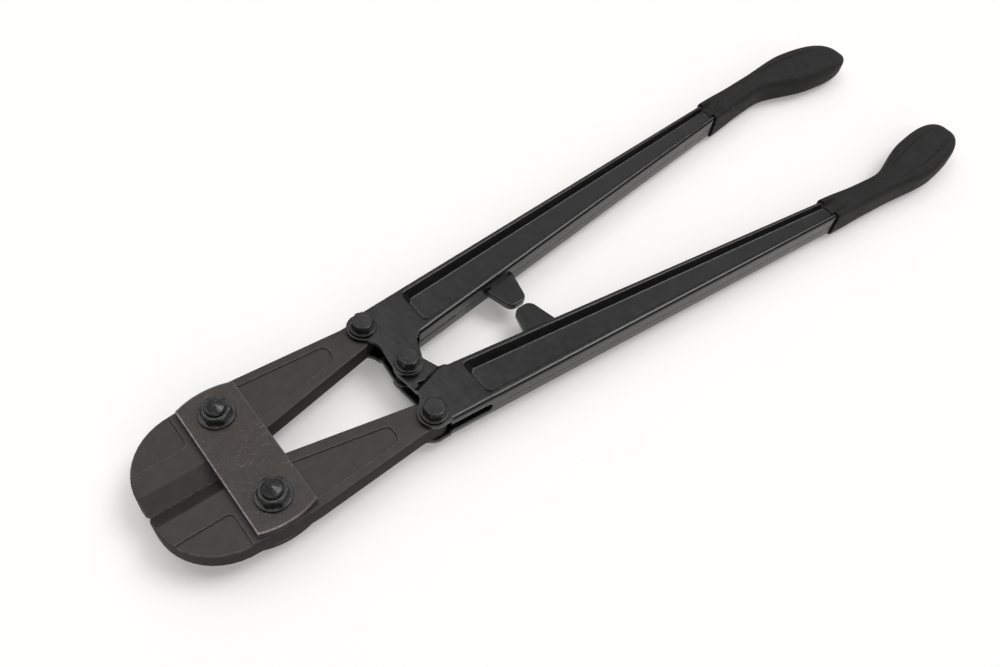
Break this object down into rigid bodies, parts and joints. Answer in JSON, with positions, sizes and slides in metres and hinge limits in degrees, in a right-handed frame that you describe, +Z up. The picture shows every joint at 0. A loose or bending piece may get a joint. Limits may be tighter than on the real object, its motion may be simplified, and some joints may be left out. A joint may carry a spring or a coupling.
{
  "type": "bolt cutters",
  "caption": "Long-handled bolt cutters with forged centre-cut jaws between strap plates, a compound lever linkage, pressed steel handles and moulded grips.",
  "frame": {"origin": "centre of the base of the bounding box, on the surface that the strap bolts' heads rest on", "axes": "+X from the jaws towards the grips along the closed tool, +Y towards the left handle, +Z up through the bolts"},
  "size_m": [0.7538, 0.187, 0.047],
  "materials": {
    "jaw_oxide": "forged, black-brown oxide",
    "strap_oxide": "black-brown oxide, edges worn bright",
    "black_paint": "glossy black paint over pressed steel",
    "vinyl": "matte dip-moulded vinyl",
    "dark_steel": "black-oxide hardware, turned",
    "bolt_steel": "black-oxide bolts, satin"
  },
  "bodies": {
    "strap": {"strap_top_plate": "strap_oxide", "strap_bottom_plate": "strap_oxide", "strap_bolt_left": "dark_steel", "strap_bolt_right": "dark_steel", "strap_nut_left": "dark_steel", "strap_nut_right": "dark_steel", "strap_washers_top": "dark_steel", "strap_washers_bottom": "dark_steel"},
    "left_jaw": {"jaw_left": "jaw_oxide"},
    "right_jaw": {"jaw_right": "jaw_oxide"},
    "left_handle": {"handle_left_top": "black_paint", "handle_left_bottom": "black_paint", "stop_left": "black_paint", "grip_left": "vinyl", "link_bolt_left": "bolt_steel", "link_nut_left": "bolt_steel", "link_washers_left": "bolt_steel", "centre_bolt": "bolt_steel", "centre_nut": "bolt_steel", "centre_washers": "bolt_steel", "centre_spacer": "bolt_steel"},
    "right_handle": {"handle_right_top": "black_paint", "handle_right_bottom": "black_paint", "stop_right": "black_paint", "grip_right": "vinyl", "link_bolt_right": "bolt_steel", "link_nut_right": "bolt_steel", "link_washers_right": "bolt_steel"}
  },
  "joints": [
    {"name": "left_jaw_pivot", "type": "hinge", "parent": "strap", "child": "left_jaw", "pos_m": [-0.31025, 0.035, 0.02215], "axis": [0, 0, 1], "range_deg": [-6.6, 0]},
    {"name": "right_jaw_pivot", "type": "hinge", "parent": "strap", "child": "right_jaw", "pos_m": [-0.31025, -0.035, 0.02215], "axis": [0, 0, 1], "range_deg": [0, 6.6]},
    {"name": "left_handle_link", "type": "hinge", "parent": "left_jaw", "child": "left_handle", "pos_m": [-0.19455, 0.0425, 0.02215], "axis": [0, 0, 1], "range_deg": [0, 42]},
    {"name": "right_handle_link", "type": "hinge", "parent": "right_jaw", "child": "right_handle", "pos_m": [-0.19455, -0.0425, 0.02215], "axis": [0, 0, 1], "range_deg": [-42, 0]}
  ],
  "couplings": [
    {"joint": "right_handle_link", "follows": "left_handle_link", "ratio": -1},
    {"joint": "left_jaw_pivot", "follows": "left_handle_link", "ratio": -0.143},
    {"joint": "right_jaw_pivot", "follows": "left_handle_link", "ratio": 0.143}
  ]
}
